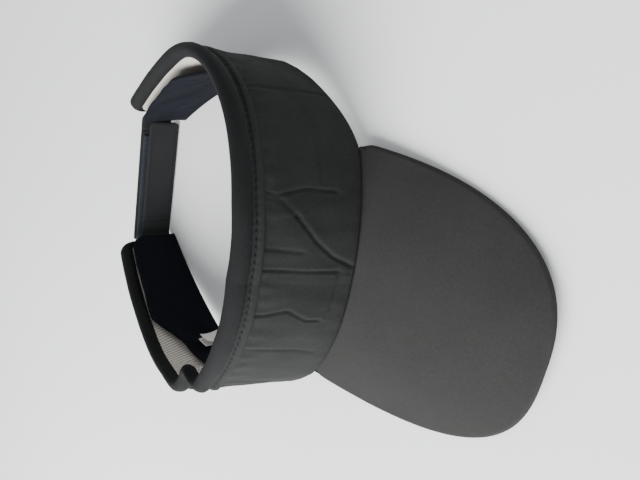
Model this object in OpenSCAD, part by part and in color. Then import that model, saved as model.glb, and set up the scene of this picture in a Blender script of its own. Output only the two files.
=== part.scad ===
// Sun visor: a padded open-top band, a curved brim and a two-strap touch closure behind.
// The visor is laid out level, brim towards -Y and closure towards +Y, then tipped nose up so that
// it stands on the brim corners and on the lower corners of the two wings.

/* [Band] */
// Radius of the forehead arc, in plan
front_radius = 95; // [85:1:112]
// Length of the forehead arc, from the middle to where the brim ends
front_half = 66; // [58:1:72]
// Radius of the bend round each temple
temple_radius = 78; // [66:1:92]
// Angle that each temple turns through
temple_turn = 74; // [66:1:80]
// Radius of the nearly straight wing behind the temple
wing_radius = 320; // [250:10:600]
// Length of each side, from the middle of the forehead to the wing's end
side_len = 242; // [215:1:255]
// Height of the band at the forehead, binding included
front_h = 63; // [52:1:76]
// Height of the band at the wing's end
end_h = 37; // [34:1:46]
// Inward lean of the forehead, as a slope
front_lean = 0.24; // [0.05:0.01:0.3]
// Inward lean at the wing's end, as a slope
end_lean = -0.08; // [-0.12:0.01:0.08]
// Radius of the wing's upper corner
corner_r = 8; // [4:1:12]
// Distance along the band from the middle of the forehead to the temple crease
crease_at = 136; // [124:1:150]

/* [Layers] */
// Thickness of the outer cloth
cloth_t = 0.8; // [0.5:0.1:1.2]
// Thickness of the foam
foam_t = 2.4; // [1.5:0.1:4]
// Thickness of the mesh lining
mesh_t = 0.6; // [0.4:0.1:1]
// Clearance between sewn layers
layer_gap = 0.05; // [0.03:0.01:0.1]

/* [Binding] */
// Height of the rolled binding along the top edge
bind_h = 8.5; // [7:0.5:11]
// How far the roll stands out of the cloth
bind_out = 1.6; // [1:0.1:2.4]
// Height of the turned hem under the binding
hem_h = 3.4; // [2.5:0.1:5]
// Width of the stitched groove between binding and hem
groove_w = 0.9; // [0.7:0.1:1.4]
// Length of one stitch
stitch_len = 2.6; // [2:0.1:3.5]
// Distance from one stitch to the next
stitch_pitch = 3.8; // [3.2:0.1:5]
// Thread diameter
thread_d = 0.5; // [0.3:0.1:0.6]

/* [Sweatband] */
// Height of the sweatband
sweat_h = 30; // [24:1:32]
// Thickness of the sweatband
sweat_t = 1.6; // [1:0.1:2.4]
// How far its free upper edge stands in from the lining
sweat_stand = 1.6; // [0.5:0.1:3]

/* [Brim] */
// Length of the brim in front of the forehead
brim_len = 86; // [65:1:100]
// How square the brim's outline is (2 is an ellipse)
brim_square = 2.6; // [2.1:0.1:3.4]
// Downward slope of the brim's middle line
brim_slope = 0.18; // [0.05:0.01:0.35]
// Radius of the brim's side-to-side arch
brim_arch_r = 150; // [110:1:260]
// Height of the brim's middle above the band's lower edge
brim_rise = 3; // [0:0.5:5]
// Thickness of the brim board
board_t = 1.6; // [1:0.1:2.4]
// Thickness of the brim's covering cloth
cover_t = 0.6; // [0.4:0.1:0.9]

/* [Closure] */
// Width of both straps
strap_w = 20; // [16:1:22]
// Thickness of both straps
strap_t = 1.2; // [0.8:0.1:1.6]
// Thickness of the hook patch
hook_t = 0.8; // [0.5:0.1:1.2]
// Thickness of the loop patch's pile
loop_t = 1; // [0.7:0.1:1.4]
// Clearance between the two patches
patch_gap = 0.35; // [0.3:0.05:0.6]
// How much higher the loop strap sits than the hook strap
loop_up = 4; // [2:0.5:6]
// Length of each strap's sewn base, up to where it peels
base_len = 10; // [8:0.5:12]
// Gap at each cloth fold that bends
fold_gap = 2; // [1.8:0.1:3]

/* [Labels] */
// Width of the folded labels, along the band
label_w = 10; // [7:1:14]
// Height of the folded labels
label_h = 20; // [14:1:24]
// Thickness of a label leaf
label_t = 0.35; // [0.25:0.05:0.5]

/* [Hidden] */

deg = 180 / PI;
station_step = 6;      // spacing of the cross-sections along the band
front_angle = front_half / front_radius * deg;
bend_angle = front_angle + temple_turn;
bend_end = front_half + temple_radius * temple_turn / deg;
foam_in = cloth_t + layer_gap;
mesh_in = foam_in + foam_t + layer_gap;
wall_t = mesh_in + mesh_t;
sweat_in = wall_t + 1;
brim_t = board_t + 2 * (cover_t + layer_gap);
crease_half = fold_gap / 2;
cloth_black = [0.19, 0.19, 0.2];
brim_black = [0.25, 0.25, 0.25];
cream = [0.88, 0.84, 0.8];

// ---- plan of the band: three arcs, measured by the distance s from the middle of the forehead
function arc_step(from, r, a0, a1) = from + r * [sin(a1) - sin(a0), cos(a0) - cos(a1)];
front_end = arc_step([0, 0], front_radius, 0, front_angle);
temple_end = arc_step(front_end, temple_radius, front_angle, bend_angle);
function heading(s) =
    s < front_half ? s / front_radius * deg
    : s < bend_end ? front_angle + (s - front_half) / temple_radius * deg
    : bend_angle + (s - bend_end) / wing_radius * deg;
function plan(s) =
    s < front_half ? arc_step([0, 0], front_radius, 0, heading(s))
    : s < bend_end ? arc_step(front_end, temple_radius, front_angle, heading(s))
    : arc_step(temple_end, wing_radius, bend_angle, heading(s));
function share(s) = min(1, abs(s) / side_len);
function lean(s) = front_lean + (end_lean - front_lean) * share(s);
// point of the band at distance s (negative on the left), depth d inside the cloth and height z
function at(s, d, z) =
    let (a = heading(abs(s)), p = plan(abs(s)), depth = d + lean(s) * z)
    [(s < 0 ? -1 : 1) * (p.x - sin(a) * depth), p.y + cos(a) * depth, z];

// ---- heights of the band's edges
function corner_drop(left) =
    left >= corner_r ? 0 : corner_r - sqrt(max(0, corner_r * corner_r - pow(corner_r - left, 2)));
function top(s) =
    front_h - (front_h - end_h) * pow(max(0, (share(s) - 0.15) / 0.85), 1.3)
    - corner_drop(side_len - abs(s));
function brim_mid(x, y) = brim_rise + brim_slope * y - x * x / (2 * brim_arch_r);
seat_gap = 0.3;        // between the brim and the band's lower edge
edge_blend = 40;       // length over which the lower edge leaves the brim's arch
// height of the brim's seat under the cloth at depth d, and of the band's lower edge there
function seat(s, d = 0) =
    let (p = at(max(-front_half, min(front_half, s)), d, 0)) brim_mid(p.x, p.y) + brim_t / 2 + seat_gap;
function bottom(s, d = 0) =
    abs(s) <= front_half ? seat(s, d)
    : seat(front_half, d) * (1 + cos(min(180, (abs(s) - front_half) / edge_blend * 180))) / 2;

// ---- closure layout: tabs leave the wing ends, then the straps run straight across the gap
end_t = 1;             // turned cloth that closes a wing's end
tab_out = 1.5;         // how far the hook strap's tab stands out of it
end_heading = heading(side_len);
end_mid = at(side_len, wall_t / 2, 0);
function past_end(along) = [end_mid.x + along * cos(end_heading), end_mid.y + along * sin(end_heading)];
fold = past_end(end_t + tab_out + fold_gap / 2);    // both straps bend here, one on each side
hook_y = fold.y - strap_t / 2;
hook_patch_y = hook_y + strap_t;
loop_patch_y = hook_patch_y + hook_t + patch_gap;
loop_y = loop_patch_y + loop_t;
loop_tab_len = (loop_y + strap_t / 2 - end_mid.y) / sin(end_heading) - crease_half;
hook_z = 1;
loop_z = hook_z + loop_up;
hook_base_x = fold.x - fold_gap / 2;
loop_base_x = past_end(loop_tab_len).x - fold_gap;
peel_x = fold.x - base_len;                    // inner fold of each strap, where it peels
hook_free_x = past_end(loop_tab_len).x - 2;    // free end of the hook strap
loop_free_x = at(side_len, 0, 0).x + 1;        // free end of the loop strap
patch_margin = 1.5;    // bare edge round each patch
strap_round = 2.5;     // corner radius of each free end

// ---- how the visor stands: tipped until brim and wing ends reach the same level, then centred
brim_half_w = front_end.x + 1.5;
brim_reach = front_end.y + brim_len;
// outline point at a share of the half width, from -1 on the left to 1 on the right
function outline(share, inset = 0) =
    [(brim_half_w - inset) * share,
     front_end.y - (brim_reach - inset) * pow(max(0, 1 - pow(abs(share), brim_square)), 1 / brim_square)];
// the brim's lines start at these shares of the forehead, just short of both ends, and each ends at
// the eased share of the outline
brim_turn = 88.5;
brim_marks = [for (i = [-20 : 20]) sin(brim_turn * i / 20)];
function eased(mark) = sin(90 * mark);
function brim_edge(up) =
    [for (mark = brim_marks) let (p = outline(eased(mark))) [p.x, p.y, brim_mid(p.x, p.y) + up]];
brim_low_points = brim_edge(-brim_t / 2);
end_low = at(side_len, 0, bottom(side_len));
tip = max([for (p = brim_low_points) atan2(end_low.z - p.z, end_low.y - p.y)]);
function tipped(p) = [p.x, p.y * cos(tip) + p.z * sin(tip), p.z * cos(tip) - p.y * sin(tip)];
lift = -min(concat([for (p = brim_low_points) tipped(p).z], [tipped(end_low).z]));
front_y = min([for (p = brim_edge(0)) tipped(p).y]);
back_y = tipped([0, loop_y + strap_t + thread_d, loop_z + strap_w - patch_margin - thread_d]).y;
stand_y = -(front_y + back_y) / 2;
module stand() translate([0, stand_y, lift]) rotate([-tip, 0, 0]) children();

// ---- polyhedron through a row of rings; each ring runs outer edge, upwards, then back inside
module skin(rings, flat = false) {
    n = len(rings[0]);
    last = len(rings) - 1;
    // each side is split from its lower near corner, so that stacked layers split alike;
    // on a flat plate every side is split the same way
    sides = [for (i = [0 : last - 1]) for (j = [0 : n - 1])
             let (k = (j + 1) % n, a = i * n + j, b = i * n + k)
             each flat || rings[i][k].z >= rings[i][j].z ? [[a, b, b + n], [a, b + n, a + n]]
                                                 : [[a, b, a + n], [b, b + n, a + n]]];
    polyhedron(points = [for (ring = rings) each ring],
               faces = concat([[for (j = [n - 1 : -1 : 0]) j]], sides,
                              [[for (j = [0 : n - 1]) last * n + j]]),
               convexity = 6);
}
function stations(from, to) =
    let (n = max(2, ceil((to - from) / station_step))) [for (i = [0 : n]) from + (to - from) * i / n];
front_stations = stations(-crease_at + crease_half, crease_at - crease_half);
wing_body = stations(crease_at + crease_half, side_len - corner_r);
wing_corner = [for (k = [1 : 4]) side_len - corner_r * (1 - sin(k * 22.5))];
wing_stations = concat(wing_body, wing_corner);
function mirrored(list) = [for (i = [len(list) - 1 : -1 : 0]) -list[i]];
// stations of one stretch of the band: "front", "left" or "right"
function stretch(which) =
    which == "front" ? front_stations : which == "left" ? mirrored(wing_stations) : wing_stations;

// ---- cross-sections, as [depth, height] points
function layer(s, d0, d1) =
    let (high = top(s) - 2 - layer_gap)
    [[d0, bottom(s, d0)], [d0, high], [d1, high], [d1, bottom(s, d1)]];
function roll(s) =
    let (t = top(s), low = t - bind_h, o = -layer_gap, i = wall_t + layer_gap, w = wall_t + bind_out)
    [[-bind_out * 0.8, low], [-bind_out, t - 3.2], [-bind_out * 0.4, t - 0.8], [wall_t / 2, t],
     [wall_t + bind_out * 0.4, t - 0.8], [w, t - 3.2], [wall_t + bind_out * 0.8, low],
     [i, low], [i, t - 2], [o, t - 2], [o, low]];
function hem(s) =
    let (high = top(s) - bind_h - groove_w, low = high - hem_h, o = -2 * layer_gap)
    [[o, low], [-0.8, low + 0.7], [-1, high - 1], [-0.7, high], [o, high]];
function sweat(s) =
    let (high = min(bottom(s) + sweat_h, top(s) - bind_h - 1), top_in = sweat_in + sweat_stand)
    [[sweat_in, bottom(s, sweat_in)], [top_in, high - 0.8], [top_in + 0.4, high],
     [top_in + sweat_t, high - 0.8], [sweat_in + sweat_t, bottom(s, sweat_in + sweat_t)]];

module band_piece(which, section) {
    stand() skin([for (s = stretch(which)) [for (q = section(s)) at(s, q[0], q[1])]]);
}
module shell(which) color(cloth_black) band_piece(which, function(s) layer(s, 0, cloth_t));
module foam(which) color("silver") band_piece(which, function(s) layer(s, foam_in, foam_in + foam_t));
module lining(which) color(cream) band_piece(which, function(s) layer(s, mesh_in, wall_t));
module binding(which) color([0.16, 0.16, 0.17]) band_piece(which, function(s) roll(s));
module hem_fold(which) color([0.18, 0.18, 0.19]) band_piece(which, function(s) hem(s));
module sweatband(which) color([0.05, 0.05, 0.08]) band_piece(which, function(s) sweat(s));

// a stitch is a short square bar laid along the groove
module stitch_row(from, to, side) {
    count = floor((to - from) / stitch_pitch);
    for (k = [0 : count - 1]) {
        s = side * (from + (k + 0.5) * (to - from) / count);
        z = top(s) - bind_h - groove_w / 2;
        fall = atan2(top(s + stitch_len / 2) - top(s - stitch_len / 2), stitch_len);
        p = at(s, -thread_d / 2 - 3 * layer_gap, z);
        translate(p) rotate([0, 0, side * heading(abs(s))]) rotate([0, -fall, 0])
            cube([stitch_len, thread_d, thread_d], center = true);
    }
}
module topstitch_wing(side) {
    color([0.1, 0.1, 0.11]) stand() stitch_row(crease_at + crease_half, side_len - corner_r - 2, side);
}
module topstitch_front() {
    color([0.1, 0.1, 0.11]) stand()
        for (side = [-1, 1]) stitch_row(0, crease_at - crease_half, side);
}

// ---- brim: plates between the band's lower edge and the outline, all on one arched surface
brim_rows = 6;
function brim_line(mark, inset) =
    let (s = front_half * mark, root = at(s, wall_t, seat(s) - brim_t / 2))
    [[root.x, root.y], outline(eased(mark), inset)];
function on_brim(line, v, up) =
    let (p = line[0] + (line[1] - line[0]) * v) [p.x, p.y, brim_mid(p.x, p.y) + up];
module brim_plate(inset, low, high) {
    stand() skin([for (mark = brim_marks) let (line = brim_line(mark, inset))
        concat([for (k = [brim_rows : -1 : 0]) on_brim(line, k / brim_rows, high)],
               [for (k = [0 : brim_rows]) on_brim(line, k / brim_rows, low)])], flat = true);
}
lip_w = 1.6;           // the top cover's cloth where it wraps round the board's edge
module brim_board() color("dimgray") brim_plate(lip_w, -board_t / 2, board_t / 2);
module brim_under_cover() {
    color([0.13, 0.13, 0.14]) brim_plate(lip_w, -brim_t / 2, -board_t / 2 - layer_gap);
}
module brim_top_cover() {
    color(brim_black) stand() skin([for (mark = brim_marks)
        let (line = brim_line(mark, 0), inner = outline(eased(mark), lip_w - layer_gap))
        concat([[line[1].x, line[1].y, brim_mid(line[1].x, line[1].y)]],
               [for (k = [brim_rows : -1 : 0]) on_brim([line[0], inner], k / brim_rows, brim_t / 2)],
               [for (k = [0 : brim_rows]) on_brim([line[0], inner], k / brim_rows, board_t / 2 + layer_gap)],
               [[inner.x, inner.y, brim_mid(inner.x, inner.y) - brim_t / 2]])], flat = true);
}
tape_in = wall_t + 0.4;
tape_t = 0.3;
tape_up = 7;           // how far the tape reaches up the lining
module brim_seam_tape() {
    reach = front_half - 3;
    color("black") stand() skin([for (s = stations(-reach, reach))
        let (low = seat(s) - brim_t - seat_gap, high = seat(s) + tape_up)
        [at(s, tape_in, low), at(s, tape_in, high), at(s, tape_in + tape_t, high),
         at(s, tape_in + tape_t, low)]]);
}

// ---- the wing's end: everything here is laid out from the end's middle, x along the band
module at_wing_end(side) translate([side * end_mid.x, end_mid.y, 0])
    rotate([0, 0, side > 0 ? end_heading : 180 - end_heading]) children();
module tab(side, z, len, grow = 0) {
    at_wing_end(side) translate([-grow, -strap_t / 2 - grow, z - grow])
        cube([len + 2 * grow, strap_t + 2 * grow, strap_w + 2 * grow]);
}
module wing_end(side, tab_z) {
    color(cloth_black) stand() difference() {
        at_wing_end(side) translate([layer_gap, -wall_t / 2, hook_z])
            cube([end_t - layer_gap, wall_t, end_h - corner_r - 2 * hook_z]);
        tab(side, tab_z, end_t, layer_gap);
    }
}

// ---- straps
strap_black = [0.2, 0.2, 0.21];
module bar(x0, x1, y, z, t, w) translate([min(x0, x1), y, z]) cube([abs(x1 - x0), t, w]);
module strap_free(x0, x1, y, z) {
    way = x1 > x0 ? 1 : -1;
    translate([0, y + strap_t, z]) rotate([90, 0, 0]) linear_extrude(strap_t) union() {
        translate([min(x0, x1 - way * strap_round), 0])
            square([abs(x1 - way * strap_round - x0), strap_w]);
        translate([min(x1, x1 - way * strap_round), strap_round])
            square([strap_round, strap_w - 2 * strap_round]);
        for (up = [strap_round, strap_w - strap_round])
            translate([x1 - way * strap_round, up]) circle(strap_round, $fn = 48);
    }
}
module patch(x0, x1, y, z, t) bar(x0, x1, y, z + patch_margin, t, strap_w - 2 * patch_margin);
module frame_stitch(x0, x1, y, z) {
    inset = patch_margin + thread_d;
    difference() {
        bar(x0, x1, y, z + inset, thread_d, strap_w - 2 * inset);
        translate([min(x0, x1) + thread_d, y - 1, z + inset + thread_d])
            cube([abs(x1 - x0) - 2 * thread_d, thread_d + 2, strap_w - 2 * (inset + thread_d)]);
    }
}
patch_start = peel_x - crease_half - 2;
module hook_tab() color(strap_black) stand() tab(-1, hook_z, end_t + tab_out);
module loop_tab() color(strap_black) stand() tab(1, loop_z, loop_tab_len);
module hook_base() {
    color(strap_black) stand()
        bar(-hook_base_x, -peel_x - crease_half, hook_y, hook_z, strap_t, strap_w);
}
module loop_base() {
    color(strap_black) stand()
        bar(loop_base_x, peel_x + crease_half, loop_y, loop_z, strap_t, strap_w);
}
module hook_strap() {
    color(strap_black) stand() strap_free(-peel_x + crease_half, hook_free_x, hook_y, hook_z);
}
module loop_strap() {
    color(strap_black) stand() strap_free(peel_x - crease_half, -loop_free_x, loop_y, loop_z);
}
module hook_patch() {
    color([0.1, 0.1, 0.1]) stand()
        patch(-patch_start, hook_free_x - patch_margin, hook_patch_y, hook_z, hook_t);
}
module loop_patch() {
    color([0.14, 0.15, 0.16]) stand()
        patch(patch_start, -loop_free_x + patch_margin, loop_patch_y, loop_z, loop_t);
}
module hook_stitch() {
    color("black") stand()
        frame_stitch(-patch_start, hook_free_x - patch_margin, hook_y - thread_d, hook_z);
}
module loop_stitch() {
    color("black") stand()
        frame_stitch(patch_start, -loop_free_x + patch_margin, loop_y + strap_t, loop_z);
}

// ---- folded labels, sewn at the foot of the left wing's sweatband
label_at = crease_at + crease_half + 5 + label_w / 2;
label_clear = 0.9;     // from the sweatband, which is hollow behind a flat leaf
label_lean = atan(lean(label_at) + sweat_stand / sweat_h);
module label_leaf(depth) {
    root = at(-label_at, sweat_in + sweat_t + label_clear + depth, 0);
    color("white") stand() translate([root.x, root.y, bottom(label_at) + 2])
        rotate([0, 0, -heading(label_at)]) rotate([-label_lean, 0, 0])
            translate([-label_w / 2, 0, 0]) cube([label_w, label_t, label_h]);
}
module label_back() label_leaf(0);
module label_front() label_leaf(label_t + 0.4);

shell("front");  // shell_front
shell("left");  // shell_left
shell("right");  // shell_right
foam("front");  // foam_front
foam("left");  // foam_left
foam("right");  // foam_right
lining("front");  // lining_front
lining("left");  // lining_left
lining("right");  // lining_right
binding("front");  // binding_front
binding("left");  // binding_left
binding("right");  // binding_right
hem_fold("front");  // hem_front
hem_fold("left");  // hem_left
hem_fold("right");  // hem_right
topstitch_front();
topstitch_wing(-1);  // topstitch_left
topstitch_wing(1);  // topstitch_right
sweatband("front");  // sweatband_front
sweatband("left");  // sweatband_left
sweatband("right");  // sweatband_right
brim_board();
brim_top_cover();
brim_under_cover();
brim_seam_tape();
wing_end(-1, hook_z);  // wing_end_left
wing_end(1, loop_z);  // wing_end_right
hook_tab();
hook_base();
hook_strap();
hook_patch();
hook_stitch();
loop_tab();
loop_base();
loop_strap();
loop_patch();
loop_stitch();
label_back();
label_front();
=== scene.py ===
import math
import random

import bmesh
import bpy
from bpy.props import FloatProperty, FloatVectorProperty, IntProperty, PointerProperty
from mathutils import Matrix, Vector, noise


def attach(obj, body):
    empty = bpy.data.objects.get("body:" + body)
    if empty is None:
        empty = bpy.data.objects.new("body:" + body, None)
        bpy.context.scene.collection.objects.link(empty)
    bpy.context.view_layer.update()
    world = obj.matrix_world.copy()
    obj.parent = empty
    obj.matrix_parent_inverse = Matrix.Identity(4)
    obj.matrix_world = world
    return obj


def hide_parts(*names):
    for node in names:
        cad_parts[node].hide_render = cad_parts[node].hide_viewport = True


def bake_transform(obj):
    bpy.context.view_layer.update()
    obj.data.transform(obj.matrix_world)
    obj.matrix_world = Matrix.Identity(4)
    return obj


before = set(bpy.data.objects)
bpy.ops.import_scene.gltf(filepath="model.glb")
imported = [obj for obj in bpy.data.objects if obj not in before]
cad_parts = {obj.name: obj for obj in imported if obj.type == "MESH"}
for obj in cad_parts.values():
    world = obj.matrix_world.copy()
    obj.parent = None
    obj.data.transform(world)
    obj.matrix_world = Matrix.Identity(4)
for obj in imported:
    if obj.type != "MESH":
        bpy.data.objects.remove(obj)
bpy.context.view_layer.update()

bl_info = {
    "name": "Sun Visor",
    "version": (1, 0, 0),
    "blender": (4, 5, 0),
    "location": "3D View > Sidebar > Visor",
    "description": "Cloth, binding, sweatband, brim, straps and labels of a sun visor",
    "category": "Object",
}

MM = 0.001
CLOTH_UV = "cloth"
CREASE_SPREAD = 12 * MM     # spread across the temple crease; only bend reads it, for two points that it leaves unused
PUCKER_PITCH = 3.8 * MM     # distance between the puckers along the groove
SWEAT_RISE = 14 * MM        # how much taller the sweatband grows along the wings
SWEAT_RISE_AT = 148 * MM    # where along the band it starts to, and the length it takes
SWEAT_RISE_RUN = 42 * MM
LABEL_SHIFT = 7 * MM        # how far the leaves sit towards the wing's end
LABEL_LEAN = 9 * MM         # how far their tips lean forwards
BRIM_TUCK = 2 * MM          # how far the brim's back corners are drawn in under the band
# each leaf's name, its gap from the sweatband and its curl in mm, and its body
LEAVES = [("back", 1.4, 1.2, "back_leaf"), ("front", 2.2, 4.2, "front_leaf")]


# ---------------------------------------------------------------- settings
def length(text, millimetres):
    return FloatProperty(name=text, default=millimetres * MM,
                         unit="LENGTH", subtype="DISTANCE", precision=5)


def angle(text, degrees):
    return FloatProperty(name=text, default=math.radians(degrees),
                         unit="ROTATION", subtype="ANGLE")


def ratio(text, value):
    return FloatProperty(name=text, default=value, precision=4)


def colour(text, value):
    return FloatVectorProperty(name=text, default=value, subtype="COLOR", size=3, min=0, max=1)


class VisorBandSizes(bpy.types.PropertyGroup):
    front_radius: length("Radius of the forehead arc in plan", 95)
    front_half: length("Arc from the middle to where the brim ends", 66)
    temple_radius: length("Radius of the bend round each temple", 78)
    temple_turn: angle("Angle that each temple turns through", 74)
    wing_radius: length("Radius of the nearly straight wing", 320)
    side_len: length("From the middle of the forehead to the wing's end", 242)
    front_h: length("Height of the band at the forehead", 63)
    end_h: length("Height of the band at the wing's end", 37)
    front_lean: ratio("Inward slope of the forehead", 0.24)
    end_lean: ratio("Inward slope at the wing's end", -0.08)
    corner_r: length("Radius of the wing's upper corner", 8)
    crease_at: length("Distance along the band to the temple crease", 136)
    wall: length("Thickness of cloth, foam and mesh together", 3.9)
    foam_face: length("Depth of the foam's inner face", 3.25)
    bind_h: length("Height of the rolled binding", 8.5)
    hem_h: length("Height of the turned hem under the binding", 3.4)
    groove: length("Width of the stitched groove", 0.9)
    sweat_in: length("Depth of the sweatband's outer face", 4.9)
    sweat_t: length("Thickness of the sweatband", 1.6)
    sweat_h: length("Height of the sweatband", 30)
    sweat_stand: length("How far its free edge stands inwards", 1.6)
    edge_blend: length("Length over which the lower edge leaves the brim", 40)
    tip: angle("Nose-up angle that the visor stands at", 4.24018)
    lift: length("Height of the band's foot above the floor", 13.1677)
    stand_y: length("Distance from the forehead to the middle of the object", -49.3272)


class VisorBrimSizes(bpy.types.PropertyGroup):
    reach: length("From the brim's back line to its front edge", 108.019)
    half_w: length("Half the brim's width", 62.3174)
    back_y: length("Where the brim's outline ends behind", 22.0189)
    square: ratio("Power of the outline, 2 being an ellipse", 2.6)
    slope: ratio("Downward slope of the middle line", 0.18)
    arch_r: length("Radius of the side-to-side arch", 150)
    rise: length("Height of the middle above the band's foot", 3)
    thick: length("Thickness with both covers", 2.9)
    lip: length("Width of the top cover's lip under the edge", 1.6)
    seat_gap: length("Gap between the brim and the band's foot", 0.3)


class VisorStrapSizes(bpy.types.PropertyGroup):
    width: length("Width of both straps", 20)
    thick: length("Thickness of both straps", 1.2)
    loop_thick: length("Thickness of the loop pile", 1.0)
    hook_y: length("Depth of the hook strap's inner face", 179.095)
    loop_y: length("Depth of the loop strap's inner face", 182.445)
    hook_z: length("Height of the hook strap's lower edge", 1)
    loop_z: length("Height of the loop strap's lower edge", 5)
    peel_x: length("Distance of each peel line from the middle", 30.4176)
    hook_free_x: length("Free end of the hook strap", 36.4731)
    loop_free_x: length("Free end of the loop strap", 45.0892)
    hook_base_x: length("Where the hook strap's base begins", 39.4176)
    loop_base_x: length("Where the loop strap's base begins", 36.4731)
    margin: length("Bare edge round each patch", 1.5)
    hook_pitch: length("Distance between the rows of hooks", 1.3)


class VisorLabelSizes(bpy.types.PropertyGroup):
    width: length("Width of a label leaf", 10)
    height: length("Height of a label leaf", 20)
    thick: length("Thickness of a label leaf", 0.35)
    at: length("Distance along the left side to the label's middle", 147)
    foot: length("Height of the label's sewn edge above the band's foot", 2)


class VisorStitchSizes(bpy.types.PropertyGroup):
    length: length("Length of one stitch", 2.6)
    pitch: length("Distance from one stitch to the next", 3.8)
    thread: length("Diameter of the thread", 0.5)
    seed: IntProperty(name="Seed", description="Seed of the small irregularities", default=7)


class VisorColours(bpy.types.PropertyGroup):
    shell: colour("Outer cloth of the band", (0.0165, 0.017, 0.017))
    binding: colour("Rolled binding", (0.0098, 0.0101, 0.0105))
    brim: colour("Brim's covering cloth", (0.0275, 0.0273, 0.0268))
    sweat: colour("Towelling inside", (0.0045, 0.0052, 0.0080))
    mesh: colour("Cream mesh", (0.80, 0.75, 0.67))
    strap: colour("Knitted strap cloth", (0.0175, 0.018, 0.019))
    pile: colour("Fuzzy loop pile", (0.018, 0.022, 0.027))
    hooks: colour("Moulded hooks", (0.02, 0.02, 0.022))
    thread: colour("Sewing thread", (0.007, 0.0075, 0.009))
    label: colour("White ribbon", (0.80, 0.79, 0.76))
    floor: colour("Pale floor", (0.875, 0.883, 0.88))


class VisorStage(bpy.types.PropertyGroup):
    azimuth: angle("Direction that the camera looks from", 27.8)
    elevation: angle("Height of the camera above the horizon", 45.6)
    roll: angle("Turn of the camera about its own axis", -10.0)
    distance: length("From the camera to its target", 300)
    target: FloatVectorProperty(name="Target", description="Point that the camera looks at",
                                default=(0.0031, -0.0032, -0.0056), subtype="TRANSLATION",
                                unit="LENGTH", size=3)
    lens: ratio("Focal length in millimetres", 31.5)


# ---------------------------------------------------------------- shape of the band
def clamp01(x):
    return min(1.0, max(0.0, x))


def ease(x):
    x = clamp01(x)
    return x * x * (3 - 2 * x)


def hump(x):
    return math.exp(-x * x)


def pucker(s):
    """1 where a stitch of the groove pulls the cloth in, and 0 between two of them."""
    return 0.5 + 0.5 * math.cos(2 * math.pi * abs(s) / PUCKER_PITCH)


def wobble(x, y, z):
    """Smooth noise, between about -1 and 1."""
    return noise.noise(Vector((x, y, z)))


def split(first, last, count):
    """Values from first to last that part the stretch between them into count equal steps."""
    return [first + (last - first) * i / count for i in range(count + 1)]


def spread(first, last, step):
    """Evenly spaced values from first to last, about step apart, both ends included."""
    return split(first, last, max(1, round(abs(last - first) / step)))


class Crease:
    """A fold pressed into the outer cloth along a broken line of (distance, height) points."""

    def __init__(self, depth, width, line):
        self.depth, self.width = depth * MM, width * MM
        self.line = [Vector((s * MM, z * MM)) for s, z in line]
        spots = [p.x for p in self.line]
        self.low, self.high = min(spots) - 8 * self.width, max(spots) + 8 * self.width

    def press(self, s, z):
        if not self.low < s < self.high:
            return 0.0
        here, best, side = Vector((s, z)), 1e9, 1
        for a, b in zip(self.line, self.line[1:]):
            run = b - a
            near = a + run * clamp01((here - a).dot(run) / run.length_squared)
            gap = (here - near).length
            if gap < best:
                best, side = gap, 1 if s > near.x else -1
        x = side * best / self.width
        return self.depth * (hump(x) - 0.1 * hump((x - 3.2) / 3.0) + 0.16 * hump((x + 4) / 3.5))


CREASES = [
    Crease(1.0, 0.6, [(-18, 56), (-17, 44), (-14, 35), (-19, 25), (-19, 18)]),
    Crease(0.9, 0.55, [(7, 56), (6.5, 30), (7, 13)]),
    Crease(1.2, 0.7, [(33, 36), (21, 26), (14, 17), (7, 0)]),
    Crease(0.6, 1.1, [(33, 36), (40, 43), (42, 56)]),
    Crease(0.9, 0.6, [(45, 56), (42, 45), (45, 30), (44, 15)]),
    Crease(0.8, 0.9, [(95, 56), (96, 40), (94, 4)]),
    Crease(0.5, 1.0, [(-38, 56), (-41, 12)]),
    Crease(0.55, 0.9, [(18, 56), (16, 32)]),
    Crease(0.35, 1.5, [(48, 21), (66, 20), (84, 22)]),
    Crease(0.4, 1.2, [(-12, 14), (2, 12), (6, 12)]),
    Crease(0.6, 1.7, [(97, 47), (112, 38), (122, 28)]),
    Crease(0.45, 1.8, [(104, 54), (124, 44), (146, 40)]),
    Crease(0.6, 1.4, [(-72, 54), (-74, 20)]),
    Crease(0.5, 2.0, [(-100, 54), (-112, 24), (-110, 4)]),
    Crease(0.5, 1.8, [(170, 42), (178, 16), (176, 2)]),
    Crease(0.4, 2.0, [(-190, 38), (-196, 6)]),
    Crease(0.4, 2.0, [(212, 32), (208, 4)]),
]


# how far in, where along the band, how wide, the height it starts at and grows over, in mm
KINKS = [(7.2, -96, 8, 14, 34), (-2.2, -117, 10, 14, 34), (-1.6, -80, 7, 24, 30)]


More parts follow.
